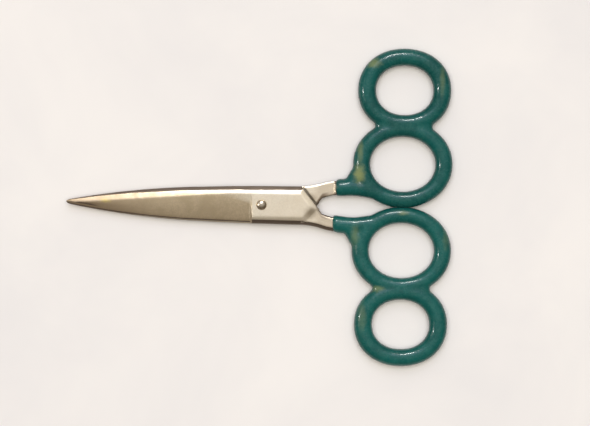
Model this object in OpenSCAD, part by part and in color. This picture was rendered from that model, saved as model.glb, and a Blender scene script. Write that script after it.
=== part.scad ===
// Left-handed training scissors with two finger loops on each handle, lying closed on Z = 0.
// The pivot's axis is the Z axis, the tips point to -X and the closing line is the X axis.
// The two halves are one shape: the back half is the front one turned over about the X axis.

/* [Blades] */
// Distance from the pivot to the tips
blade_reach = 64.2; // [62:0.1:66]
// Height of the spine above the closing line at the pivot
spine_h = 6.3; // [5.9:0.1:6.6]
// Thickness of the steel at the pivot
plate_t = 2.0; // [1.8:0.05:2.2]
// Cutting edge's distance from the closing line, as a share of the spine's
edge_share = 0.94; // [0.9:0.01:0.97]

/* [Pivot] */
// Diameter of the rivet's shank
rivet_d = 2.4; // [2.2:0.1:2.6]
// Diameter of the rivet's domed head
head_d = 3.4; // [3.2:0.1:3.8]
// Height of the domed head
head_h = 1.1; // [0.8:0.1:1.4]
// Radial play of the front half on the rivet
pivot_play = 0.05; // [0.02:0.01:0.08]

/* [Handles] */
// Diameter of the steel rod in the loops
rod_d = 3.6; // [3.2:0.1:3.8]
// Diameter of the coated rod in the inner loop
inner_coat_d = 5.5; // [5.3:0.1:5.6]
// Diameter of the coated rod in the outer loop, where the vinyl ran thicker
outer_coat_d = 5.8; // [5.7:0.1:6]
// Width of the hole in the inner loop
inner_hole_w = 21.7; // [20.8:0.1:22]
// Width of the hole in the outer loop
outer_hole_w = 18.8; // [18.2:0.1:19.4]

/* [Hidden] */
$fn = 64;

steel = "#b9b09c";
bright_steel = "#d8d2c4";
weld_metal = "#8b7f6a";
vinyl = "#1c6a5f";

mid_z = outer_coat_d / 2;  // the plane in which the two halves meet
ride_gap = 0.04;           // air between their inner faces
far = 100;
sink = 0.6;                // countersink for the rivet's tail
sink_r = 1.6;
head_air = 0.03;           // between the head and the front half

// Blade: the spine is level at the ricasso and bends down to the tip in two steps
ricasso_x = 13.3;
grind_x = -3.6;            // the ground face runs from here to the tip
spine_r = 840;
bend_x = -23;
bend_r = 399;
tip_round = 1.2;
shoulder = 1.3;            // width of the steep facet along the spine
land = 2.5;                // width of both facets together
steep = tan(38);
gentle = tan(15);
edge_z = 0.5;              // height of the small bevel along the cutting edge
edge_w = 0.35;
thin_x = -10;              // the steel gets thinner from here to the tip
thinning = 0.0173;
ridge_drop = 0.075;

// End of the ricasso: a slanting edge, behind which the other half's shank comes up
slant_a = [13.3, 6.0];
slant_b = [18.0, 0.1];
slant_gap = 0.4;
slant_land = 1.8;          // width of the chamfer along it
slant_slope = 22;
step_a = [18.2, 0];        // the ricasso's other end, sloping down to its own shank
step_b = [14.3, -4.2];
step_slope = 17;
ramp_slope = 20;

// Shank: [distance along X, outer edge, inner edge], both below the closing line
shank_rows = [
    [13.0, 6.20, 4.40], [15.0, 6.40, 2.60], [16.5, 6.60, 1.30], [18.05, 6.90, 0.15],
    [19.0, 7.15, 1.45], [19.9, 7.42, 2.62], [21.5, 7.88, 3.12], [23.3, 8.18, 3.60],
    [24.6, 8.25, 3.85]
];
shank_up = 1.45;
shank_down = 1.6;
shank_shoulder = 1.15;
tang_x = [24.2, 36.0];     // inside the sleeve the shank is round, and runs into the loop's rod
tang_r = 1.7;
mouth = [0.6, 4.5, 3.15];  // recess of the sleeve around the end of the flat shank

// Loops
inner_at = [46.2, -14.2];
outer_at = [46.4, -38.5];
inner_axes = [(inner_hole_w + inner_coat_d) / 2, 11.75];
outer_axes = [(outer_hole_w + outer_coat_d) / 2, 11.0];
open_half = 5.9;           // half the width of the opening in the outer loop's rod
weld_x = [38.6, 54.2];
weld_y = -27.3;
weld_r = 1.8;
waist_y = -27;             // the vinyl fills the waist between the loops
waist_x = [36.5, 56.4];
waist_r = 2.75;
waist_rim = 1.6;

// Vinyl over the shank
sleeve_x = 24.0;
sleeve_y = -6.12;
sleeve_r = 2.9;
sleeve_end = 36.2;
lip_r = 1.0;
crotch_a = [29.3, -6.3];   // a brace of vinyl fills the corner between sleeve and loop
crotch_b = [32.9, -13.4];
crotch_r = 2.55;
touch_gap = 0.03;          // the two inner loops press flat against each other here

// ---------- blade ----------

function rounding(x) =
    let (u = min(1, max(0, (x + blade_reach) / tip_round))) sqrt(1 - pow(1 - u, 2));
function spine_y(x) =
    (spine_h - pow(max(0, ricasso_x - x), 2) / (2 * spine_r)
        - pow(max(0, bend_x - x), 2) / (2 * bend_r)) * rounding(x);
function edge_y(x) = -edge_share * spine_y(x);
function ridge_y(x) =
    (spine_h - land - (x > grind_x ? 0 : 0.1) - ridge_drop * max(0, thin_x - x)) * rounding(x);
function ridge_z(x) = plate_t - thinning * max(0, thin_x - x);

function spine_side(x) =
    let (y = spine_y(x), f = shoulder * min(1, y / 6),
        z = ridge_z(x) - gentle * max(0, y - f - ridge_y(x)))
    [[y, ride_gap / 2], [y, z - steep * f], [y - f, z]];

// The ground face leaves the ridge almost level and steepens towards the edge.
function ground(x, s) =
    let (y0 = ridge_y(x), y1 = edge_y(x) + 2.5 * edge_w * rounding(x))
    [y0 + (y1 - y0) * s, ridge_z(x) - (ridge_z(x) - edge_z - 0.15) * pow(s, 1.6)];
function blade_section(x) = concat(
    spine_side(x),
    [for (s = [0:0.25:1]) ground(x, s)],
    [[edge_y(x) + edge_w * rounding(x), edge_z], [edge_y(x), 0.2], [edge_y(x), ride_gap / 2]]
);

// The ricasso is flat, with the same two facets along both sides.
function ricasso_section(x) =
    let (side = spine_side(x), flat = spine_h - land)
    concat(
        side,
        [for (s = [0:0.25:1]) [flat * (1 - 2 * s), plate_t]],
        [for (i = [2:-1:0]) [-side[i][0], side[i][1]]]
    );

// Skin through sections with equal numbers of points, each drawn with its own X.
module loft(xs, sections) {
    n = len(sections[0]);
    m = len(sections);
    points = [for (i = [0:m - 1]) for (p = sections[i]) [xs[i], p[0], p[1]]];
    sides = [
        for (i = [0:m - 2]) for (j = [0:n - 1])
            let (a = i * n + j, b = i * n + (j + 1) % n)
            for (f = [[a, b + n, b], [a, a + n, b + n]]) f
    ];
    ends = [[for (j = [0:n - 1]) j], [for (j = [n - 1:-1:0]) (m - 1) * n + j]];
    polyhedron(points, concat(sides, ends), convexity = 4);
}

// Everything on the far side of the line from a to b, above a plane that falls away from it.
module beyond(a, b, back, z, slope) {
    along = atan2(b[1] - a[1], b[0] - a[0]);
    translate([a[0], a[1], z])
        rotate([0, 0, along]) translate([0, back, 0])
            rotate([slope, 0, 0]) translate([-far / 2, 0, 0]) cube([far, far, far]);
}

blade_xs = concat(
    [for (i = [0:5]) -blade_reach + 0.005 + tip_round * pow(i / 5, 2)],
    [for (i = [1:18]) -blade_reach + tip_round + (blade_reach - tip_round + grind_x) * i / 18]
);
ricasso_xs = [grind_x + 0.5, 5, ricasso_x, 19];

module plate() {
    difference() {
        loft(
            concat(blade_xs, ricasso_xs),
            concat(
                [for (x = blade_xs) blade_section(x)],
                [for (x = ricasso_xs) ricasso_section(x)]
            )
        );
        beyond(slant_a, slant_b, 0, -1, 0);
        beyond(slant_a, slant_b, -slant_land, plate_t, -slant_slope);
        mirror([0, 1, 0])
            beyond([step_b[0], -step_b[1]], [step_a[0], -step_a[1]], -0.9, plate_t, -step_slope);
    }
}

// ---------- shank and loops ----------

function shank_section(row) =
    let (o = -row[1], i = -row[2], w = min(shank_shoulder, (row[1] - row[2]) / 3))
    [
        [i, -shank_down + 0.5], [i, shank_up - 0.4], [i - 0.4, shank_up],
        [o + w, shank_up], [o, shank_up - 0.95], [o, -shank_down + 0.95],
        [o + w, -shank_down], [i - 0.5, -shank_down]
    ];

// The shank lies in the middle of both halves, so below the meeting plane it can only start
// behind the slanting end of the other half's ricasso; a ramp rises there to its full thickness.
module shank() {
    difference() {
        loft([for (r = shank_rows) r[0]], [for (r = shank_rows) shank_section(r)]);
        mirror([0, 0, 1]) translate([0, 0, -ride_gap / 2]) difference() {
            translate([0, -20, 0]) cube([21, 40, 10]);
            mirror([0, 1, 0]) beyond(slant_a, slant_b, slant_gap, -1, 0);
        }
        mirror([0, 0, 1]) mirror([0, 1, 0]) difference() {
            translate([5, 0, 0.4]) cube([19, 20, 10]);
            beyond(slant_a, slant_b, slant_gap - 0.5, 0.4, 90 - ramp_slope);
        }
    }
}

// Oval ring of rod or vinyl: a torus stretched along X and pressed in along Y
module oval(at, axes, r) {
    mean = (axes[0] + axes[1]) / 2;
    translate([at[0], at[1], 0]) scale([axes[0] / mean, axes[1] / mean, 1])
        rotate_extrude($fn = 128) translate([mean, 0]) circle(r, $fn = 48);
}

// Round bar along X with rounded rims
module round_bar(from, to, r, rim) {
    translate([from[0], from[1], 0]) rotate([90, 0, 90])
        rotate_extrude() difference() {
            square([r, to - from[0]]);
            for (end = [0, 1])
                translate([r - rim, end * (to - from[0] - rim)]) difference() {
                    square([rim + 1, rim + end]);
                    translate([0, (1 - end) * rim]) circle(rim, $fn = 32);
                }
        }
}

module tang() {
    translate([tang_x[0], sleeve_y, 0]) rotate([0, 90, 0])
        cylinder(h = tang_x[1] - tang_x[0], r = tang_r);
}
module inner_rod() { oval(inner_at, inner_axes, rod_d / 2); }
module outer_rod() {
    difference() {
        oval(outer_at, outer_axes, rod_d / 2);
        translate([outer_at[0] - open_half, outer_at[1], -5]) cube([2 * open_half, 20, 10]);
    }
}

module half_blade() {
    difference() {
        union() {
            plate();
            shank();
            tang();
            inner_rod();
        }
        children();
    }
}

// Braze that fills the opening, from one end of the outer rod to the other
module half_welds() { round_bar([weld_x[0], weld_y], weld_x[1], weld_r, 0.8); }

// ---------- vinyl ----------

module sleeve() {
    round_bar([sleeve_x, sleeve_y], sleeve_end, sleeve_r, lip_r);
    brace = crotch_b - crotch_a;
    translate([crotch_a[0], crotch_a[1], 0]) rotate([0, 90, atan2(brace[1], brace[0])])
        cylinder(h = norm(brace), r = crotch_r);
}

module vinyl_body() {
    oval(inner_at, inner_axes, inner_coat_d / 2);
    oval(outer_at, outer_axes, outer_coat_d / 2);
    round_bar([waist_x[0], waist_y], waist_x[1], waist_r, waist_rim);
    sleeve();
}

// The steel is taken out of the vinyl one piece after another.
module half_grip() {
    difference() {
        difference() {
            difference() {
                difference() {
                    difference() {
                        vinyl_body();
                        translate([0, -touch_gap, -10]) cube([80, 10, 20]);
                    }
                    half_welds();
                }
                inner_rod();
            }
            outer_rod();
        }
        tang();
        translate([sleeve_x - 0.1, sleeve_y + 0.07 - mouth[1] / 2, -mouth[2] / 2 - 0.07])
            cube([mouth[0] + 0.1, mouth[1], mouth[2]]);
    }
}

// ---------- the two halves and the pivot ----------

module front() { translate([0, 0, mid_z]) children(); }
module back() { translate([0, 0, mid_z]) rotate([180, 0, 0]) children(); }

module front_blade() {
    color(steel) front() half_blade()
        translate([0, 0, -3]) cylinder(h = 8, d = rivet_d + 2 * pivot_play);
}
module front_outer_loop() { color(steel) front() outer_rod(); }
module front_loop_welds() { color(weld_metal) front() half_welds(); }
module front_grip() { color(vinyl) front() half_grip(); }

module back_blade() {
    color(steel) back() half_blade() {
        union() {
            translate([0, 0, -3]) cylinder(h = 8, d = rivet_d);
            translate([0, 0, plate_t - sink]) cylinder(h = sink + 0.01, r1 = rivet_d / 2, r2 = sink_r);
        }
    }
}
module back_outer_loop() { color(steel) back() outer_rod(); }
module back_loop_welds() { color(weld_metal) back() half_welds(); }
module back_grip() { color(vinyl) back() half_grip(); }

// Domed head over the front half, tail peened flush into the back half's countersink
module pivot_rivet() {
    dome_r = (pow(head_d / 2, 2) + pow(head_h, 2)) / (2 * head_h);
    color(bright_steel) translate([0, 0, mid_z]) {
        translate([0, 0, -plate_t]) cylinder(h = 2 * plate_t + 0.1, d = rivet_d);
        translate([0, 0, -plate_t]) cylinder(h = sink, r1 = sink_r, r2 = rivet_d / 2);
        translate([0, 0, plate_t + head_air]) intersection() {
            translate([0, 0, head_h - dome_r]) sphere(dome_r, $fn = 96);
            cylinder(h = 5, d = head_d + 1);
        }
    }
}

front_blade();
front_outer_loop();
front_loop_welds();
front_grip();
back_blade();
back_outer_loop();
back_loop_welds();
back_grip();
pivot_rivet();
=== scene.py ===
# %% [markdown]
# # Left-handed training scissors
# Two forged steel halves turn on one rivet. Each handle has two finger loops, one for the learner
# and one for the helper, and the handles were dipped in liquid vinyl as the last step.
# The closing line is the X axis, the tips point to -X, and the pivot is at the origin.
#
# A solid model of the scissors already exists. It could simply be painted, but its steel is loose
# triangles and its vinyl has hard creases. So the steel's faces are joined, the rivet and the vinyl
# are made again in the same place, and what the vinyl hides stays as it is.

# %% Load the solid model and note its box
import math

import bmesh
import bpy
from mathutils import Matrix, Vector


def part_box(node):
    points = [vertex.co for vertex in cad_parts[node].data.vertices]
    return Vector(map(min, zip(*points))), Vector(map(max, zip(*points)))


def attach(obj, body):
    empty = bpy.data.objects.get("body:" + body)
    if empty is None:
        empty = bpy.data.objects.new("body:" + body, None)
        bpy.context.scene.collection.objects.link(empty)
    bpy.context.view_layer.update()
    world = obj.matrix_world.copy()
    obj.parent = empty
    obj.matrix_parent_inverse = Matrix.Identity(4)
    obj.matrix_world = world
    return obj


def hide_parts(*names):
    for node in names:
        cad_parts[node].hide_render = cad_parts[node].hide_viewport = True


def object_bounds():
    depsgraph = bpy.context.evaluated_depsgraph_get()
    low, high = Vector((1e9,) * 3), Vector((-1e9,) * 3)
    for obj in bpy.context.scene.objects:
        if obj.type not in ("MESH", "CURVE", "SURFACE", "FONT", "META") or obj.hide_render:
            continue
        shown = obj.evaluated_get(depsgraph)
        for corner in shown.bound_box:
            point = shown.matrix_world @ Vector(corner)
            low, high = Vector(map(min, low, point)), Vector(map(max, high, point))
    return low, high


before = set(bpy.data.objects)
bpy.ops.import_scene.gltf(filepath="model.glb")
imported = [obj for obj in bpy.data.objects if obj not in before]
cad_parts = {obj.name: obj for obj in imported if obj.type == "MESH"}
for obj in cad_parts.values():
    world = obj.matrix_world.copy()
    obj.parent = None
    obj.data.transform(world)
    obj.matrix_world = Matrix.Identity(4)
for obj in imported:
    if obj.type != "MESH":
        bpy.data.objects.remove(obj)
cad_low, cad_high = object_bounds()
MM = 0.001
HALF_Z = (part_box("front_grip")[0].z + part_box("front_grip")[1].z) / 2
FRONT, BACK = -1, 1          # the side of the closing line on which a half's handle lies
print("halves meet at", round(HALF_Z / MM, 3), "mm above the table")

# %% [markdown]
# ## Helpers for every piece
# Each real part of the scissors becomes one mesh, so that it can ride on its half and take its own
# finish. The mesh could sit anywhere with its object moved into place, but here the object stays at
# the origin and the place is in the points: then patterns that follow object coordinates stay put.

# %% Turn a bmesh into a piece
def piece_from(bm, name, material, body, smooth_angle=40):
    bmesh.ops.recalc_face_normals(bm, faces=bm.faces[:])
    for face in bm.faces:
        face.smooth = True
    for edge in bm.edges:
        sharp = len(edge.link_faces) == 2 and edge.calc_face_angle(0) > math.radians(smooth_angle)
        edge.smooth = not sharp
    mesh = bpy.data.meshes.new(name)
    bm.to_mesh(mesh)
    bm.free()
    piece = bpy.data.objects.new(name, mesh)
    bpy.context.scene.collection.objects.link(piece)
    piece.data.materials.append(material)
    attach(piece, body)
    print(name, len(mesh.polygons), "faces")
    return piece


# %% Join rings of points into a tube
RING_POINTS = 32


def tube(bm, stations, closed=False):
    """stations: (centre in mm, heading angle in degrees, half width, half height)."""
    rings = []
    for i, (centre, heading, half_w, half_h) in enumerate(stations):
        place = (
            Matrix.Translation(Vector((centre[0], centre[1], 0)) * MM)
            @ Matrix.Rotation(math.radians(heading), 4, "Z")
            @ Matrix.Rotation(math.radians(90), 4, "Y")
            @ Matrix.Diagonal((half_h * MM, half_w * MM, 1, 1))
        )
        end = not closed and i in (0, len(stations) - 1)
        made = bmesh.ops.create_circle(bm, cap_ends=end, segments=RING_POINTS, radius=1,
                                       matrix=place)
        ring = set(made["verts"])
        rings.append([e for e in bm.edges if e.verts[0] in ring and e.verts[1] in ring
                      and len(e.link_faces) < 2])
    pairs = zip(rings, rings[1:] + rings[:1]) if closed else zip(rings, rings[1:])
    for a, b in pairs:
        bmesh.ops.bridge_loops(bm, edges=a + b)


# %% [markdown]
# ## Helpers for every finish
# A real finish is never one colour: it has grinding, handling, wear and dirt in it. That could be
# painted on by hand, but then it would have one fixed sharpness. Here it is made from nodes, which
# stay sharp at any distance. A few short functions keep the node code readable.

# %% Start a node group with named inputs and outputs
def new_group(name, inputs, outputs):
    group = bpy.data.node_groups.new(name, "ShaderNodeTree")
    for label, kind, value in inputs:
        socket = group.interface.new_socket(label, in_out="INPUT", socket_type=kind)
        socket.default_value = value
    for label, kind in outputs:
        group.interface.new_socket(label, in_out="OUTPUT", socket_type=kind)
    enter = group.nodes.new("NodeGroupInput")
    leave = group.nodes.new("NodeGroupOutput")
    return group, enter.outputs, leave.inputs


# %% Add a node, and the few kinds that are used again and again
def add(tree, kind, links=None, **settings):
    """A new node; links maps its inputs to sockets or to plain values."""
    node = tree.nodes.new(kind)
    for key, value in settings.items():
        setattr(node, key, value)
    for key, value in (links or {}).items():
        if isinstance(value, bpy.types.NodeSocket):
            tree.links.new(value, node.inputs[key])
        else:
            node.inputs[key].default_value = value
    return node


def here(tree):
    """The place of each point on its own piece."""
    return add(tree, "ShaderNodeTexCoord").outputs["Object"]


def split(tree, vector):
    return add(tree, "ShaderNodeSeparateXYZ", {0: vector}).outputs


def maths(tree, operation, a, b=0.0, c=0.0, clamp=False):
    node = add(tree, "ShaderNodeMath", {0: a, 1: b, 2: c}, operation=operation, use_clamp=clamp)
    return node.outputs[0]


def noise(tree, place, scale, detail, roughness=0.5, distortion=0.0):
    node = add(tree, "ShaderNodeTexNoise", {"Vector": place, "Scale": scale, "Detail": detail,
                                            "Roughness": roughness, "Distortion": distortion})
    return node.outputs["Fac"]


# %% Ramps and mixes
def ramp(tree, value, start, full, to_start=0.0, to_full=1.0):
    """A smooth change from one result to another while value goes from start to full."""
    node = add(tree, "ShaderNodeMapRange",
               {"Value": value, "From Min": start, "From Max": full,
                "To Min": to_start, "To Max": to_full}, interpolation_type="SMOOTHSTEP")
    return node.outputs["Result"]


def faded(tree, mask, value, start, full, to_start=0.0, to_full=1.0):
    """The mask, let in while value goes from start to full."""
    return maths(tree, "MULTIPLY", mask, ramp(tree, value, start, full, to_start, to_full))


def mixed(tree, factor, a, b):
    node = add(tree, "ShaderNodeMix", {"Factor": factor, "A": a, "B": b}, data_type="RGBA")
    return node.outputs["Result"]


def tinted(tree, under, mask, strength, colour):
    """A colour laid over another one, as far as the mask and the strength say."""
    return mixed(tree, maths(tree, "MULTIPLY", mask, strength), under, colour)


# %% Start a material, place a group in it, and give it relief
def blank_material(name):
    material = bpy.data.materials.new(name)
    material.use_nodes = True
    tree = material.node_tree
    return material, tree, tree.nodes["Principled BSDF"]


def use(tree, group, **values):
    node = tree.nodes.new("ShaderNodeGroup")
    node.node_tree = group
    for key, value in values.items():
        node.inputs[key].default_value = value
    return node.outputs


def bumped(tree, shader, height, strength, depth, **under):
    """Small relief: height goes from 0 to 1 over depth, in metres."""
    bump = add(tree, "ShaderNodeBump", {"Height": height, "Strength": strength,
                                        "Distance": depth, **under})
    tree.links.new(bump.outputs[0], shader.inputs["Normal"])


# %% [markdown]
# ## Effect: lines left by the grinding belt
# Steel that was ground on a belt keeps fine, nearly parallel scratches. Each could be cut as
# geometry, but they are thinner than a hair. Stretched noise gives them instead: a height for the
# relief, and a mask of the few deeper ones.

# %% Grind lines
def make_grind_lines():
    group, given, out = new_group(
        "Grind lines",
        [("Along", "NodeSocketVector", (1, 1, 1)), ("Fineness", "NodeSocketFloat", 1.0)],
        [("Height", "NodeSocketFloat"), ("Mask", "NodeSocketFloat")])
    stretched = add(group, "ShaderNodeVectorMath", {0: here(group), 1: given["Along"]},
                    operation="MULTIPLY").outputs[0]
    sized = add(group, "ShaderNodeVectorMath", {0: stretched, "Scale": given["Fineness"]},
                operation="SCALE").outputs[0]
    fine = noise(group, sized, 1.0, 3.0, 0.7)
    few = noise(group, sized, 0.23, 1.0)
    group.links.new(fine, out["Height"])
    deep = ramp(group, few, 0.60, 0.70)
    group.links.new(maths(group, "MULTIPLY", deep, fine, clamp=True), out["Mask"])
    return group


grind_lines = make_grind_lines()
print(grind_lines.name, "group:", len(grind_lines.nodes), "nodes")

# %% [markdown]
# ## Effect: clouds
# Handling and age make metal and vinyl slightly uneven in colour, in soft patches of many sizes.
# Rough noise does this everywhere, and its size and contrast are the group's two inputs, so that
# one group serves the plate, the rivet, the vinyl and the table.

# %% Clouds
def make_clouds():
    group, given, out = new_group(
        "Clouds", [("Size", "NodeSocketFloat", 200.0), ("Contrast", "NodeSocketFloat", 0.1)],
        [("Mask", "NodeSocketFloat")])
    uneven = noise(group, here(group), given["Size"], 4.0, 0.62, 0.4)
    darkest = maths(group, "SUBTRACT", 0.5, given["Contrast"])
    lightest = maths(group, "ADD", 0.5, given["Contrast"])
    group.links.new(ramp(group, uneven, darkest, lightest), out["Mask"])
    return group


clouds = make_clouds()
print(clouds.name, "group:", len(clouds.nodes), "nodes")

# %% [markdown]
# ## Effect: one patch
# Some stains and worn spots are in one place only, and so is one patch of painted shade on the
# steel.
# A mask that falls off with distance from that place finds them, and noise added to the distance
# makes the outline ragged, as a real stain's is.

# %% Patch
PATCH_GRAIN = 620.0          # how fine the ragged outline is
RAGGED_REACH = 2.6           # how far the noise moves the outline


def make_patch():
    group, given, out = new_group(
        "Patch",
        [("Centre", "NodeSocketVector", (0, 0, 0)), ("Size", "NodeSocketVector", (1, 1, 1)),
         ("Raggedness", "NodeSocketFloat", 0.6)],
        [("Mask", "NodeSocketFloat")])
    place = here(group)
    away = add(group, "ShaderNodeVectorMath", {0: place, 1: given["Centre"]},
               operation="SUBTRACT").outputs[0]
    share = add(group, "ShaderNodeVectorMath", {0: away, 1: given["Size"]},
                operation="DIVIDE").outputs[0]
    distance = add(group, "ShaderNodeVectorMath", {0: share},
                   operation="LENGTH").outputs["Value"]
    uneven = maths(group, "SUBTRACT", noise(group, place, PATCH_GRAIN, 4.0, 0.65), 0.5)
    ragged = maths(group, "MULTIPLY", uneven, given["Raggedness"])
    reach = maths(group, "MULTIPLY_ADD", ragged, RAGGED_REACH, distance)
    group.links.new(ramp(group, reach, 0.10, 1.15, 1.0, 0.0), out["Mask"])
    return group


patch = make_patch()
print(patch.name, "group:", len(patch.nodes), "nodes")

# %% [markdown]
# ## Effect: rubbed edges
# Hands, cloths and drawers rub plating off the corners first. A corner is where the face's own
# direction and a softened one disagree, which the Bevel node can tell anywhere on the piece.

# %% Rubbed edges
def make_rubbed_edges():
    group, given, out = new_group(
        "Rubbed edges", [("Width", "NodeSocketFloat", 0.0003)], [("Mask", "NodeSocketFloat")])
    softened = add(group, "ShaderNodeBevel", {"Radius": given["Width"]}, samples=4).outputs[0]
    facing = add(group, "ShaderNodeNewGeometry").outputs["Normal"]
    agree = add(group, "ShaderNodeVectorMath", {0: softened, 1: facing},
                operation="DOT_PRODUCT").outputs["Value"]
    group.links.new(ramp(group, maths(group, "SUBTRACT", 1.0, agree), 0.004, 0.07), out["Mask"])
    return group


rubbed_edges = make_rubbed_edges()
print(rubbed_edges.name, "group:", len(rubbed_edges.nodes), "nodes")

# %% [markdown]
# ## Nickel-plated steel: where each finish lies
# The halves are forged, ground and plated. Where the blade is ground hollow it is painted darker
# and browner, partly for its thin plating and partly as painted shade of a face that tilts away
# from the light, and this fades out towards the ridge near the pivot. Each zone could be its own
# material on its own faces, but real zones fade into each other. So one material has a mask for
# each zone, worked out from the place along the blade and the place across it.

# %% The hollow that the belt ground
# "across" is measured towards the half's own spine. The grinding starts sharply near the cutting
# edge, and fades in over a longer and longer way towards the ridge.
FRONT_SPINE, BACK_SPINE = 1, -1      # the side of the closing line on which a half's spine lies
GRINDING_STARTS = -0.0030            # along the blade, in metres from the pivot


def ground_hollow(tree, along, across, dull):
    behind = maths(tree, "SUBTRACT", GRINDING_STARTS, along)
    wavering = maths(tree, "SUBTRACT", dull, 0.5)
    behind = maths(tree, "MULTIPLY_ADD", wavering, 0.0006, behind)
    fade_length = ramp(tree, across, 0.0000, 0.0042, 0.0011, 0.0150)
    on_blade = maths(tree, "DIVIDE", behind, fade_length, clamp=True)
    return faded(tree, on_blade, across, 0.0046, 0.0030)


# %% Steep walls, and the step where the grinding ends
def walls_and_step(tree, along):
    facing = add(tree, "ShaderNodeNewGeometry").outputs["Normal"]
    facing = add(tree, "ShaderNodeVectorTransform", {0: facing}, vector_type="NORMAL",
                 convert_from="WORLD", convert_to="OBJECT").outputs[0]
    facing = split(tree, facing)
    walls = ramp(tree, maths(tree, "ABSOLUTE", facing["Y"]), 0.38, 0.56)
    step = ramp(tree, maths(tree, "ABSOLUTE", facing["X"]), 0.10, 0.35)
    step = faded(tree, step, along, -0.0020, -0.0026)
    step = faded(tree, step, along, -0.0060, -0.0052)
    return walls, step


# %% Painted shadow in the seam at the slanting end of the ricasso, where the other half's shank comes up
SEAM_FACING = (0.782, 0.623)     # the seam is a straight line: which way it faces
SEAM_REACH = 0.01414             # and how far from the pivot it lies, in metres
SEAM_OFFSET = 0.00012


def seam_shadow(tree, along, across):
    past = maths(tree, "MULTIPLY_ADD", along, SEAM_FACING[0],
                 maths(tree, "MULTIPLY_ADD", across, SEAM_FACING[1], -SEAM_REACH))
    away = maths(tree, "ABSOLUTE", maths(tree, "SUBTRACT", past, SEAM_OFFSET))
    seam = ramp(tree, away, 0.00016, 0.00034, 1.0, 0.0)
    return faded(tree, seam, across, -0.0002, 0.0006)


# %% Painted shade along the forged inner edge of the shank, on its side facet
STEEP_EDGE = (1.33, -0.02384)    # the inner edge is two straight lines: slope, and start in metres
FLAT_EDGE = (0.29, -0.00315)


def inner_edge_shade(tree, along, across):
    edge = maths(tree, "MINIMUM", maths(tree, "MULTIPLY_ADD", along, *STEEP_EDGE),
                 maths(tree, "MULTIPLY_ADD", along, *FLAT_EDGE))
    inwards = maths(tree, "MULTIPLY", across, -1.0)
    tone_mask = ramp(tree, maths(tree, "SUBTRACT", inwards, edge), 0.00090, 0.00180, 1.0, 0.0)
    tone_mask = faded(tree, tone_mask, along, 0.0176, 0.0184)
    return faded(tree, tone_mask, along, 0.0226, 0.0202, 0.15, 1.0)


# %% [markdown]
# ## Nickel-plated steel: its colours
# Plain nickel is pale and warm. On the ground hollow it is browner, partly from thin plating and
# partly as painted shade of a face that tilts away from the light, and it is darker still towards
# the tip. Wear, dirt and painted shade lie over that in thin layers. The shade is painted on the
# steep walls, on the step where the grinding ends, at the corner where the ricasso steps down to
# the shank and along the shank's inner edge, and a painted shadow fills the seam at the slanting
# end of the ricasso. Each layer is a mask, a strength and a colour, and they are laid from the
# bottom up.

# %% Colours of the plate
PALE_NICKEL = (0.835, 0.750, 0.590, 1), (0.745, 0.655, 0.495, 1)
THIN_NICKEL_AND_SHADE = (0.610, 0.495, 0.325, 1), (0.470, 0.375, 0.235, 1)
SHANK_NICKEL = (0.600, 0.505, 0.370, 1)
TIP_NICKEL = (0.330, 0.235, 0.145, 1)
GRAIN = (0.430, 0.345, 0.235, 1)
YELLOW_SPOT = (0.620, 0.500, 0.160, 1)
RUBBED = (0.800, 0.750, 0.660, 1)
CORNER_SHADE = (0.340, 0.265, 0.170, 1)
STEP_SHADE = (0.360, 0.280, 0.180, 1)
WALL_SHADE = (0.140, 0.105, 0.082, 1)
INNER_EDGE_SHADE = (0.130, 0.085, 0.050, 1)
SEAM_SHADOW = (0.045, 0.030, 0.018, 1)


def plate_colour(tree, spine_side, along, across, dull, ground):
    fine = use(tree, clouds, Size=1900.0, Contrast=0.12)["Mask"]
    edges = use(tree, rubbed_edges, Width=0.00022)["Mask"]
    spot = use(tree, patch, Centre=(-0.0512, 0.0005 * spine_side, 0.0045),
               Size=(0.0022, 0.0009, 0.004), Raggedness=0.5)["Mask"]
    # painted shade at the corner by the crotch, where the ricasso steps down to the shank
    corner = use(tree, patch, Centre=(0.0162, -0.0022 * spine_side, 0.003),
                 Size=(0.0026, 0.0026, 0.02), Raggedness=0.25)["Mask"]
    walls, step = walls_and_step(tree, along)
    grain_strength = maths(tree, "MULTIPLY_ADD", ground, 0.34, 0.12)
    # the painted shade along the inner edge is stronger on the back half
    inner_shade_strength = 0.8 if spine_side == BACK_SPINE else 0.4

    pale = mixed(tree, dull, *PALE_NICKEL)
    pale = tinted(tree, pale, ramp(tree, along, 0.0165, 0.0195), 0.70, SHANK_NICKEL)
    # On the ground hollow the colour is browner, partly thin plating and partly painted shade of
    # the face that tilts from the light; towards the tip it is darker still.
    thin = mixed(tree, dull, *THIN_NICKEL_AND_SHADE)
    thin = tinted(tree, thin, ramp(tree, along, -0.0240, -0.0600), 0.62, TIP_NICKEL)
    plate = mixed(tree, ground, pale, thin)
    for mask, strength, colour in (
            (fine, grain_strength, GRAIN), (spot, 0.6, YELLOW_SPOT), (edges, 0.25, RUBBED),
            (corner, 0.66, CORNER_SHADE), (step, 0.6, STEP_SHADE), (walls, 0.92, WALL_SHADE),
            (inner_edge_shade(tree, along, across), inner_shade_strength, INNER_EDGE_SHADE),
            (seam_shadow(tree, along, across), 0.85, SEAM_SHADOW)):
        plate = tinted(tree, plate, mask, strength, colour)
    return plate


# %% Nickel plate, its roughness and its relief
WORN_RADIUS = 0.0010         # how widely the shading is softened at the faces' borders


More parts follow.
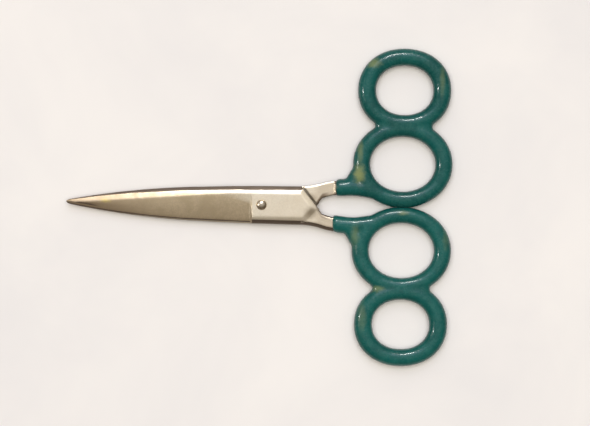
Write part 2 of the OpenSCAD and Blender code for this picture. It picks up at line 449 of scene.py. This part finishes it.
def nickel(name, spine_side):
    material, tree, shader = blank_material(name)
    place = split(tree, here(tree))
    along, across = place["X"], maths(tree, "MULTIPLY", place["Y"], spine_side)
    dull = use(tree, clouds, Size=150.0, Contrast=0.16)["Mask"]
    ground = ground_hollow(tree, along, across, dull)
    colour = plate_colour(tree, spine_side, along, across, dull, ground)
    tree.links.new(colour, shader.inputs["Base Color"])
    shader.inputs["Metallic"].default_value = 0.86

    lines = use(tree, grind_lines, Along=(0.35, 1.0, 1.0), Fineness=5200.0)
    across_lines = use(tree, grind_lines, Along=(1.0, 0.12, 0.12), Fineness=4200.0)
    roughness = maths(tree, "MULTIPLY_ADD", dull, 0.10, 0.30)
    roughness = maths(tree, "MULTIPLY_ADD", ground, 0.08, roughness)
    roughness = maths(tree, "MULTIPLY_ADD", lines["Mask"], 0.15, roughness)
    tree.links.new(roughness, shader.inputs["Roughness"])
    height = maths(tree, "MULTIPLY_ADD", across_lines["Height"], ground,
                   maths(tree, "MULTIPLY", lines["Height"], 0.5))
    softened = add(tree, "ShaderNodeBevel", {"Radius": WORN_RADIUS}, samples=8).outputs[0]
    bumped(tree, shader, height, 0.22, 0.00002, Normal=softened)
    print(name, len(tree.nodes), "nodes")
    return material


nickel_front = nickel("nickel_plate_front", FRONT_SPINE)
nickel_back = nickel("nickel_plate_back", BACK_SPINE)

# %% [markdown]
# ## Rivet steel
# The rivet is turned from bright steel and polished by rubbing, so it is smoother than the plate
# and mirrors the lamps. A perfect mirror would look like a glass bead, so fine clouds dull it a
# little, and very fine lines break its highlight.

# %% Polished rivet steel
def rivet_steel():
    material, tree, shader = blank_material("rivet_steel")
    dulled = use(tree, clouds, Size=1400.0, Contrast=0.2)["Mask"]
    shade = mixed(tree, dulled, (0.60, 0.525, 0.41, 1), (0.45, 0.385, 0.29, 1))
    tree.links.new(shade, shader.inputs["Base Color"])
    shader.inputs["Metallic"].default_value = 1.0
    tree.links.new(maths(tree, "MULTIPLY_ADD", dulled, 0.12, 0.24), shader.inputs["Roughness"])
    lines = use(tree, grind_lines, Along=(1, 1, 1), Fineness=6000.0)["Height"]
    bumped(tree, shader, lines, 0.12, 0.00001)
    print("rivet_steel", len(tree.nodes), "nodes")
    return material


# %% [markdown]
# ## Metal under the vinyl
# Drawn rod and braze are never seen on finished scissors, but they are real pieces, so they get a
# plain uneven metal each. More work than that would never show.

# %% Plain rod and braze
def hidden_metal(name, colour, other, roughness):
    material, tree, shader = blank_material(name)
    dulled = use(tree, clouds, Size=700.0, Contrast=0.15)["Mask"]
    tree.links.new(mixed(tree, dulled, colour, other), shader.inputs["Base Color"])
    shader.inputs["Metallic"].default_value = 0.9
    tree.links.new(maths(tree, "MULTIPLY_ADD", dulled, 0.2, roughness), shader.inputs["Roughness"])
    print(name, len(tree.nodes), "nodes")
    return material


# %% [markdown]
# ## Dipped vinyl
# The handles are dipped in liquid vinyl while hot, and it sets with a wet shine. It varies a little
# in thickness, so the colour is slightly uneven, and glue and paint have left yellow stains where
# fingers hold the loops. A thin clear coat gives the sharp glints, and slow and fine waves in the
# relief break them up as sagging vinyl does.

# %% How the vinyl is stained: centre and size in mm, strength
STAINS_FRONT = [
    ((46.5, -1.9, 5.2), (2.2, 1.0, 2.4), 0.38), ((30.9, -9.5, 5.0), (1.8, 5.0, 3.4), 0.26),
    ((38.2, -26.8, 5.2), (3.6, 1.3, 2.4), 0.38), ((33.6, -36.0, 5.0), (1.8, 6.5, 3.4), 0.18),
    ((60.6, -10.0, 5.2), (1.4, 5.0, 3.0), 0.14)]
STAINS_BACK = [
    ((31.8, 10.7, 5.2), (2.3, 4.2, 3.6), 0.66), ((35.8, 47.3, 5.2), (3.2, 2.2, 3.0), 0.46),
    ((32.0, 18.4, 5.0), (1.3, 5.0, 3.4), 0.34), ((58.6, 41.5, 5.4), (1.2, 6.5, 2.6), 0.22)]
STAIN_YELLOW = (0.255, 0.275, 0.090, 1)


def stain_mask(tree, stains):
    total = 0.0
    for centre, size, strength in stains:
        mask = use(tree, patch, Centre=[c * MM for c in centre], Size=[s * MM for s in size],
                   Raggedness=0.42)["Mask"]
        total = maths(tree, "MAXIMUM", total, maths(tree, "MULTIPLY", mask, strength))
    return total


print(len(STAINS_FRONT), "stains on the front grip,", len(STAINS_BACK), "on the back grip")

# %% Teal vinyl
DULL_TEAL = (0.018, 0.118, 0.092, 1)
PALE_SPECK = (0.060, 0.170, 0.130, 1)


def vinyl(name, stains, deep, thin):
    material, tree, shader = blank_material(name)
    uneven = use(tree, clouds, Size=120.0, Contrast=0.16)["Mask"]
    tone_mask = use(tree, clouds, Size=480.0, Contrast=0.14)["Mask"]
    specks = use(tree, clouds, Size=2400.0, Contrast=0.10)["Mask"]
    stained = stain_mask(tree, stains)
    shade = mixed(tree, uneven, deep, thin)
    shade = tinted(tree, shade, tone_mask, 0.22, DULL_TEAL)
    shade = tinted(tree, shade, specks, 0.08, PALE_SPECK)
    tree.links.new(mixed(tree, stained, shade, STAIN_YELLOW), shader.inputs["Base Color"])
    roughness = maths(tree, "MULTIPLY_ADD", tone_mask, 0.10, 0.21)
    roughness = maths(tree, "MULTIPLY_ADD", stained, 0.15, roughness)
    tree.links.new(roughness, shader.inputs["Roughness"])
    shader.inputs["IOR"].default_value = 1.28
    shader.inputs["Coat Weight"].default_value = 0.24
    shader.inputs["Coat Roughness"].default_value = 0.07
    sag = noise(tree, here(tree), 330.0, 2.0)
    peel = noise(tree, here(tree), 1900.0, 2.0)
    bumped(tree, shader, maths(tree, "MULTIPLY_ADD", peel, 0.40, sag), 0.60, 0.00026)
    print(name, len(tree.nodes), "nodes")
    return material


vinyl_front = vinyl("vinyl_front", STAINS_FRONT, (0.0012, 0.063, 0.056, 1),
                    (0.0034, 0.088, 0.077, 1))
vinyl_back = vinyl("vinyl_back", STAINS_BACK, (0.0005, 0.052, 0.047, 1),
                   (0.0016, 0.073, 0.065, 1))

# %% [markdown]
# ## The two steel halves
# Each half is one forging: blade, ricasso, shank and the core of the inner loop. The solid model
# already has these faces, so they are not drawn again: its loose triangles are joined and its flat
# faces made whole. Polishing leaves a narrow round on every corner, and a Bevel modifier would be
# the way to make it. Here its overlap clamp follows the smallest facets, so the round comes out
# hardly a thousandth of a millimetre wide. It only steadies the shading, and the soft corners that
# show come from the Bevel node in the plate.

# %% Steel halves
SAME_POINT = 0.000002
SAME_PLANE = math.radians(0.6)
CORNER = 14                  # degrees: a turn sharper than this is a corner
CORNER_ROUND = 0.00012       # asked for; the clamp lets through far less


def steel_half(node, material, body):
    bm = bmesh.new()
    bm.from_mesh(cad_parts[node].data)
    bmesh.ops.remove_doubles(bm, verts=bm.verts[:], dist=SAME_POINT)
    bmesh.ops.dissolve_limit(bm, angle_limit=SAME_PLANE, verts=bm.verts[:], edges=bm.edges[:])
    bmesh.ops.triangulate(bm, faces=[f for f in bm.faces if len(f.verts) > 4])
    piece = piece_from(bm, "steel_" + node, material, body, CORNER)
    rounds = piece.modifiers.new("polished_corners", "BEVEL")
    rounds.width = CORNER_ROUND
    rounds.segments = 2
    rounds.limit_method = "ANGLE"
    rounds.angle_limit = math.radians(CORNER)
    rounds.harden_normals = True
    rounds.use_clamp_overlap = True
    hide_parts(node)


steel_half("front_blade", nickel_front, "front_half")
steel_half("back_blade", nickel_back, "back_half")

# %% [markdown]
# ## The rivet
# A domed head lies on the front half, a shank goes through both, and the tail is hammered flat into
# a countersink in the back half. It could be three cylinders and a cut ball, but a rivet is round
# about one axis, so its half outline is drawn once and spun about the pivot.

# %% Rivet
HEAD_R, SHANK_R, HEAD_H = 1.7 * MM, 1.2 * MM, 1.1 * MM
DOME_STEPS = 11


def rivet_outline(base, top):
    """Half of the rivet's section, from the middle of the tail to the top of the dome."""
    seat = top - HEAD_H
    outline = [(0.0, base), (1.52 * MM, base), (1.6 * MM, base + 0.03 * MM),
               (SHANK_R, base + 0.6 * MM), (SHANK_R, seat - 0.02 * MM),
               (1.60 * MM, seat), (1.695 * MM, seat + 0.06 * MM)]
    for step in range(1, DOME_STEPS):
        angle = math.radians(8 + step * 7.45)
        outline.append((HEAD_R * math.cos(angle), seat + HEAD_H * math.sin(angle)))
    return outline + [(0.0, top)]


def make_rivet(material):
    rivet_low, rivet_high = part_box("pivot_rivet")
    bm = bmesh.new()
    points = [bm.verts.new((r, 0, z)) for r, z in rivet_outline(rivet_low.z, rivet_high.z)]
    edges = [bm.edges.new(pair) for pair in zip(points, points[1:])]
    bmesh.ops.spin(bm, geom=points + edges, cent=(0, 0, 0), axis=(0, 0, 1), angle=math.tau,
                   steps=64, use_merge=True)
    bmesh.ops.remove_doubles(bm, verts=bm.verts[:], dist=2 * SAME_POINT)
    piece = piece_from(bm, "rivet", material, "back_half", 35)
    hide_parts("pivot_rivet")


make_rivet(rivet_steel())

# %% [markdown]
# ## The vinyl grips
# Vinyl runs round every rod it meets and fills the corners between them, with no crease anywhere.
# Filleting solid tubes gives creases, so each grip is built the way the vinyl lies: tubes round the
# two loops, a sleeve on the shank, and more tubes where the vinyl filled the corners. They are
# melted into one skin with a voxel remesh, and the skin is relaxed until its corners are as soft as
# dipping leaves them.

# %% One loop as a tube between its hole and its outline
LOOP_STATIONS = 96


def loop_stations(centre, hole, outline, half_h, power):
    """A loop is a little squarer than an ellipse: power 2 is an ellipse, and more is squarer."""
    def at(turn, half):
        c, s = math.cos(turn), math.sin(turn)
        reach = (abs(c / half[0]) ** power + abs(s / half[1]) ** power) ** (-1 / power)
        return Vector((c * reach, s * reach))

    stations = []
    for i in range(LOOP_STATIONS):
        turn = math.tau * i / LOOP_STATIONS
        inner, outer = at(turn, hole), at(turn, outline)
        middle = (inner + outer) / 2
        stations.append((
            (centre[0] + middle.x, centre[1] + middle.y),
            math.degrees(turn) + 90, (outer - inner).length / 2, half_h))
    return stations


# %% The sleeve and the places that the vinyl filled, in mm
# Each row is a ring: its place along the handle and across it, then its half width and height.
def sleeve_rings(mouth_x, mouth_y):
    return [(mouth_x, mouth_y, 1.85, 1.7), (mouth_x + 0.12, mouth_y, 2.42, 2.25),
            (mouth_x + 0.5, mouth_y, 2.78, 2.62), (mouth_x + 1.0, mouth_y + 0.05, 2.88, 2.76),
            (mouth_x + 2.2, mouth_y * 0.5 + 3.12, 2.90, 2.72), (28.6, 6.26, 2.84, 2.70),
            (31.0, 6.26, 2.84, 2.70), (33.5, 6.02, 2.92, 2.70), (35.5, 5.65, 2.86, 2.66),
            (37.4, 5.10, 2.66, 2.60), (39.4, 4.40, 2.40, 2.40), (40.8, 3.95, 1.60, 1.60)]


BRACE_RINGS = [(28.6, 5.6, 2.3, 2.3), (29.6, 7.6, 2.5, 2.45), (30.9, 9.9, 2.55, 2.45),
               (32.5, 12.6, 2.45, 2.45), (33.4, 14.2, 2.2, 2.2)]
BRACE_RUN = (3.9, 6.9)       # the brace's way from the sleeve up to the loop
BAR_Y = 26.9                 # the bar fills the waist between the two loops
BAR_RINGS = [(36.9, 0.6, 0.6), (37.1, 1.4, 1.3), (37.7, 2.1, 1.9), (39.0, 2.75, 2.35),
             (41.8, 3.2, 2.45), (46.7, 3.3, 2.45), (51.2, 3.2, 2.45), (53.8, 2.75, 2.35),
             (55.0, 2.1, 1.9), (55.6, 1.4, 1.3), (55.8, 0.6, 0.6)]
print(len(BRACE_RINGS), "rings in the brace,", len(BAR_RINGS), "in the bar")

# %% All of a grip's tubes, still crossing each other
GROW = 0.05                  # relaxing shrinks the skin, so the tubes start a little thicker


def crossing_tubes(side, mouth_x, mouth_y):
    bm = bmesh.new()
    tube(bm, loop_stations((46.2, 14.2 * side), (10.70 - GROW, 9.0 - GROW),
                           (16.40 + GROW, 14.35 + GROW), 2.70, 2.04), closed=True)
    tube(bm, loop_stations((46.4, 38.5 * side), (9.4 - GROW, 8.1 - GROW),
                           (15.35 + GROW, 13.73 + GROW), 2.84, 2.12), closed=True)
    tube(bm, [((x, y * side), 0, w, h) for x, y, w, h in sleeve_rings(mouth_x, mouth_y)])
    lean = math.degrees(math.atan2(BRACE_RUN[1] * side, BRACE_RUN[0]))
    tube(bm, [((x, y * side), lean, w, h) for x, y, w, h in BRACE_RINGS])
    tube(bm, [((x, BAR_Y * side), 0, w, h) for x, w, h in BAR_RINGS])
    bmesh.ops.recalc_face_normals(bm, faces=bm.faces[:])
    return bm


# %% Melt them into one skin and relax it
VOXEL = 0.00030
RELAXING_PASSES = 14


def melted(bm, name):
    lumps = bpy.data.meshes.new(name + "_lumps")
    bm.to_mesh(lumps)
    bm.free()
    maker = bpy.data.objects.new(name + "_lumps", lumps)
    bpy.context.scene.collection.objects.link(maker)
    melt = maker.modifiers.new("melt", "REMESH")
    melt.mode = "VOXEL"
    melt.voxel_size = VOXEL
    bpy.context.view_layer.update()
    skin = maker.evaluated_get(bpy.context.evaluated_depsgraph_get()).to_mesh()
    bm = bmesh.new()
    bm.from_mesh(skin)
    bpy.data.objects.remove(maker)
    for _ in range(RELAXING_PASSES):
        bmesh.ops.smooth_vert(bm, verts=bm.verts[:], factor=0.5, use_axis_x=True,
                              use_axis_y=True, use_axis_z=True)
    return bm


# %% Grips
HALF_GAP = 0.00003           # the two inner loops are pressed flat against each other


def make_grip(name, side, mouth_x, mouth_y, material, body, node):
    bm = melted(crossing_tubes(side, mouth_x, mouth_y), name)
    bmesh.ops.translate(bm, verts=bm.verts[:], vec=(0, 0, HALF_Z))
    lowest, highest = cad_low.z, HALF_Z * 2 - cad_low.z
    for v in bm.verts:
        if v.co.y * side < HALF_GAP:
            v.co.y = HALF_GAP * side
        v.co.z = min(max(v.co.z, lowest), highest)
    piece = piece_from(bm, name, material, body, 80)
    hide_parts(node)


make_grip("grip_front", FRONT, 23.35, 5.70, vinyl_front, "front_half", "front_grip")
make_grip("grip_back", BACK, 24.2, 6.10, vinyl_back, "back_half", "back_grip")

# %% [markdown]
# ## What the vinyl hides
# The rod of each outer loop and the braze that holds it were in the vinyl before it set. Their
# shapes in the solid model are right, so they stay, and only take their metals.

# %% Hidden rods and braze
rod_metal = hidden_metal("drawn_rod", (0.42, 0.40, 0.37, 1), (0.30, 0.27, 0.23, 1), 0.35)
braze_metal = hidden_metal("braze", (0.56, 0.42, 0.18, 1), (0.36, 0.26, 0.12, 1), 0.45)
for node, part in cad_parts.items():
    if "outer_loop" in node or "welds" in node:
        part.data.materials.clear()
        part.data.materials.append(rod_metal if "outer_loop" in node else braze_metal)
        print(node, "is", part.data.materials[0].name)

# %% [markdown]
# ## The table
# The scissors lie on a pale, warm sheet. A curved backdrop would suit a standing object, but for a
# flat one a single wide grid is enough. Very large, faint clouds keep it from looking like paint.

# %% Table
TABLE_HALF = 0.9
TABLE_GAP = 0.00002          # so that the table and the lowest face never share a plane


def make_table():
    bm = bmesh.new()
    bmesh.ops.create_grid(bm, x_segments=4, y_segments=4, size=TABLE_HALF)
    mesh = bpy.data.meshes.new("table")
    bm.to_mesh(mesh)
    bm.free()
    table = bpy.data.objects.new("table", mesh)
    table.location.z = cad_low.z - TABLE_GAP
    bpy.context.scene.collection.objects.link(table)
    material, tree, shader = blank_material("pale_sheet")
    tone = use(tree, clouds, Size=14.0, Contrast=0.3)["Mask"]
    colour = mixed(tree, tone, (0.685, 0.662, 0.640, 1), (0.755, 0.725, 0.685, 1))
    tree.links.new(colour, shader.inputs["Base Color"])
    shader.inputs["Roughness"].default_value = 0.7
    shader.inputs["Specular IOR Level"].default_value = 0.2
    mesh.materials.append(material)
    print("table at", round(table.location.z / MM, 3), "mm, half width", TABLE_HALF, "m")


make_table()

# %% [markdown]
# ## The lamps
# A wide lamp overhead lights everything softly and casts the faint shadow round the loops. It would
# also lie as a pale haze on the vinyl, so it is hidden from reflections. Two narrow bulbs do the
# opposite: they light nothing, and only show as the thin glints along the loops' upper sides.

# %% Lamps
def lamp(name, place, size, watts, colour, mirrored):
    """A mirrored lamp only shows as a glint in glossy surfaces; the other kind only lights them."""
    data = bpy.data.lights.new(name, "AREA")
    data.shape = "RECTANGLE"
    data.size, data.size_y = size
    data.energy = watts
    data.color = colour
    made = bpy.data.objects.new(name, data)
    made.location = place
    made.rotation_euler = (-Vector(place)).to_track_quat("-Z", "Y").to_euler()
    made.visible_glossy = mirrored
    made.visible_diffuse = not mirrored
    bpy.context.scene.collection.objects.link(made)
    print(name, watts, "W,", "glints only" if mirrored else "lights only")


lamp("wide_lamp", (-0.02, 0.06, 1.15), (0.9, 0.7), 10.9, (1.0, 0.975, 0.925), False)
lamp("top_bulb", (0.0, 0.50, 0.52), (0.20, 0.030), 3.4, (1.0, 0.98, 0.95), True)
lamp("side_bulb", (-0.62, 0.05, 0.50), (0.035, 0.16), 1.8, (1.0, 0.98, 0.95), True)

# %% [markdown]
# ## The room
# Polished steel looks like whatever is around it, so the room matters more than the lamps. A whole
# room could be modelled, but a few nodes do what is needed: dim warm walls, a bright ceiling, and
# one brighter window on the +Y side, which the bright band along the blade mirrors.

# %% A room with a bright ceiling, dim walls and a window
WALL, CEILING = (0.26, 0.205, 0.155, 1), (1.0, 0.965, 0.915, 1)
WINDOW_WAY, WINDOW_LIGHT = (-0.05, 0.53, 0.846), (3.2, 3.4, 4.4, 1)
ROOM_STRENGTH = 0.63


def make_room():
    world = bpy.data.worlds.new("room")
    world.use_nodes = True
    tree = world.node_tree
    way = add(tree, "ShaderNodeTexCoord").outputs["Generated"]
    toward = split(tree, way)
    height = maths(tree, "MULTIPLY_ADD", toward["Y"], 0.50, toward["Z"])
    tint = mixed(tree, ramp(tree, height, 0.40, 0.95), WALL, CEILING)
    window = add(tree, "ShaderNodeVectorMath", {0: way, 1: WINDOW_WAY},
                 operation="DOT_PRODUCT").outputs["Value"]
    tint = mixed(tree, ramp(tree, window, 0.925, 0.970), tint, WINDOW_LIGHT)
    tree.links.new(tint, tree.nodes["Background"].inputs["Color"])
    tree.nodes["Background"].inputs["Strength"].default_value = ROOM_STRENGTH
    bpy.context.scene.world = world
    print("room", len(tree.nodes), "nodes")


make_room()
bpy.context.scene.view_settings.view_transform = "Standard"

# %% [markdown]
# ## The camera
# It looks straight down from well above, so that the loops near the edge are hardly seen from the
# side. The scissors lie turned by about one degree on the sheet. They can't be moved, so the camera
# is turned by that degree instead.

# %% Camera
EYE_HEIGHT = 0.62            # above the plane where the halves meet
VIEW_WIDTH = 0.1941          # what the camera takes in at that plane
SENSOR_MM = 36

camera = bpy.data.cameras.new("camera")
camera.sensor_width = SENSOR_MM
camera.lens = SENSOR_MM * EYE_HEIGHT / VIEW_WIDTH
camera.dof.use_dof = False
eye = bpy.data.objects.new("camera", camera)
eye.location = (0.01104, -0.00247, EYE_HEIGHT + HALF_Z)
eye.rotation_euler = (0, 0, math.radians(1.04))
bpy.context.scene.collection.objects.link(eye)
bpy.context.scene.camera = eye
print("lens", round(camera.lens, 1), "mm")
